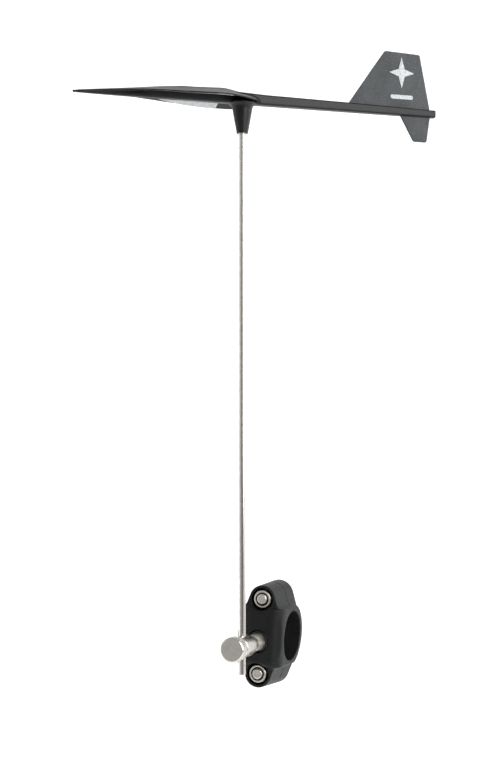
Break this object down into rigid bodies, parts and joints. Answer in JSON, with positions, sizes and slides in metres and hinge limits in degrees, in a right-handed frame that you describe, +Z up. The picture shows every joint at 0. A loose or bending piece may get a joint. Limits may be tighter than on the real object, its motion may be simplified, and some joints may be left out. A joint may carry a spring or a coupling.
{
  "type": "wind vane",
  "caption": "Dinghy wind indicator: a balanced arrow vane with tail fin turns freely on a steel rod held by a thumb screw in a swivelling tube clamp.",
  "frame": {"origin": "centre of the clamp's 28 mm tube bore", "axes": "+Z up the rod, +X from the tube's centre towards the rod along the swivel stud, +Y along the tube to 3.8 degrees"},
  "size_m": [0.1351, 0.1659, 0.3619],
  "materials": {
    "clamp_nylon": "moulded, fine texture",
    "vane_plastic": "moulded, satin",
    "fin_plastic": "fine grained sheet",
    "black_acetal": "machined",
    "rod_steel": "drawn and polished",
    "turned_steel": "turned and knurled",
    "fastener_steel": "bright stainless",
    "bearing_steel": "hardened, polished",
    "white_nylon": "natural nylon",
    "reflective_tape": "silver retroreflective film",
    "print": "light grey pad print",
    "weight_steel": "blackened bar"
  },
  "bodies": {
    "clamp": {"clamp_front": "clamp_nylon", "swivel_stud": "fastener_steel", "stud_washer": "black_acetal"},
    "rear_half": {"clamp_rear": "clamp_nylon", "bolt_upper": "fastener_steel", "bolt_lower": "fastener_steel"},
    "upper_nut": {"nut_upper": "fastener_steel", "nut_insert_upper": "black_acetal"},
    "lower_nut": {"nut_lower": "fastener_steel", "nut_insert_lower": "black_acetal"},
    "holder": {"rod_holder": "turned_steel", "stud_nut": "fastener_steel"},
    "pad": {"pressure_pad": "white_nylon"},
    "screw": {"thumb_screw": "turned_steel"},
    "rod": {"rod": "rod_steel", "pivot_needle": "bearing_steel", "retaining_clip": "bearing_steel"},
    "vane": {"vane_arm": "vane_plastic", "tail_fin": "fin_plastic", "reflector_port": "reflective_tape", "reflector_starboard": "reflective_tape", "star_print_port": "print", "star_print_starboard": "print", "bar_print_port": "print", "bar_print_starboard": "print", "nose_weight": "weight_steel", "pivot_cup": "bearing_steel", "guide_bush": "white_nylon"}
  },
  "joints": [
    {"name": "upper_nut_turn", "type": "hinge", "parent": "clamp", "child": "upper_nut", "pos_m": [0.0137, 0.00139, 0.02085], "axis": [1, 0, 0], "range_deg": [0, 1080]},
    {"name": "lower_nut_turn", "type": "hinge", "parent": "clamp", "child": "lower_nut", "pos_m": [0.0137, -0.00139, -0.02085], "axis": [1, 0, 0], "range_deg": [0, 1080]},
    {"name": "clamp_open", "type": "slide", "parent": "clamp", "child": "rear_half", "axis": [-1, 0, 0], "range_m": [0, 0.003]},
    {"name": "holder_swivel", "type": "hinge", "parent": "clamp", "child": "holder", "pos_m": [0, -0.00016, -0.00239], "axis": [1, 0, 0], "range_deg": [-90, 90]},
    {"name": "thumb_turn", "type": "hinge", "parent": "pad", "child": "screw", "pos_m": [0.05, -0.00016, -0.00239], "axis": [1, 0, 0], "range_deg": [0, 720]},
    {"name": "pad_travel", "type": "slide", "parent": "holder", "child": "pad", "axis": [1, 0, 0], "range_m": [0, 0.0016]},
    {"name": "rod_slide", "type": "slide", "parent": "holder", "child": "rod", "axis": [0, 0, 1], "range_m": [-0.245, 0.008]},
    {"name": "vane_spin", "type": "hinge", "parent": "rod", "child": "vane", "pos_m": [0.0436, -0.00016, 0.2955], "axis": [0, 0, 1], "continuous": true}
  ],
  "couplings": [
    {"joint": "upper_nut_turn", "follows": "clamp_open", "rad_per_m": 6283.2},
    {"joint": "lower_nut_turn", "follows": "clamp_open", "rad_per_m": 6283.2},
    {"joint": "pad_travel", "follows": "thumb_turn", "m_per_rad": 0.00012732}
  ]
}
